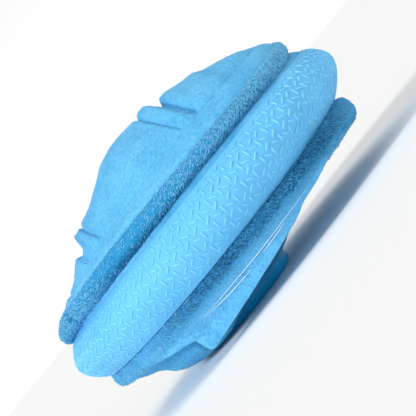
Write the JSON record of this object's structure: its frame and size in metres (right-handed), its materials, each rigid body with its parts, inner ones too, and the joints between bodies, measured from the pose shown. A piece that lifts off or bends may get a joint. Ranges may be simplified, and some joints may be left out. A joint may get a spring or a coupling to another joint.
{
  "type": "hockey puck",
  "caption": "Soft-cover practice puck: a weighted disc with a textured rubber rim, rolled fleece hems, padded knit covers and a smooth glide cap underneath.",
  "frame": {"origin": "on the disc's axis, on the flat face of the glide cap that the puck rests on", "axes": "+Z along the disc's axis, from the glide cap towards the domed crown; -X towards the side where the glide cap lies"},
  "size_m": [0.0762, 0.0762, 0.0402],
  "materials": {
    "band_rubber": "smooth satin moulded rubber with raised dashes",
    "strip_rubber": "smooth matte rubber",
    "core_rubber": "matte black moulded rubber",
    "steel": "turned steel",
    "fleece": "fuzzy looped fleece",
    "knit": "brushed knit with a short nap",
    "filler_cord": "braided filler cord",
    "thread": "sewing thread",
    "foam": "soft open-cell foam",
    "inner_plastic": "matte moulded plastic",
    "cap_plastic": "smooth moulded plastic",
    "screw_steel": "plated steel"
  },
  "bodies": {
    "root": {"tread_band": "band_rubber", "core_disc": "core_rubber", "core_lid": "core_rubber", "weight_disc": "steel", "upper_side_strip": "strip_rubber", "lower_side_strip": "strip_rubber", "upper_hem": "fleece", "lower_hem": "fleece", "upper_hem_cord": "filler_cord", "lower_hem_cord": "filler_cord", "upper_hem_thread": "thread", "lower_hem_thread": "thread", "lower_edge_beading": "thread", "shoulder_panel": "knit", "crown_cover": "knit", "crown_seam_thread": "thread", "upper_pad": "foam", "lower_pad": "foam", "lower_cover": "knit", "lower_flap": "knit", "anchor_plate": "inner_plastic", "glide_cap": "cap_plastic", "cap_screws": "screw_steel"}
  },
  "joints": []
}
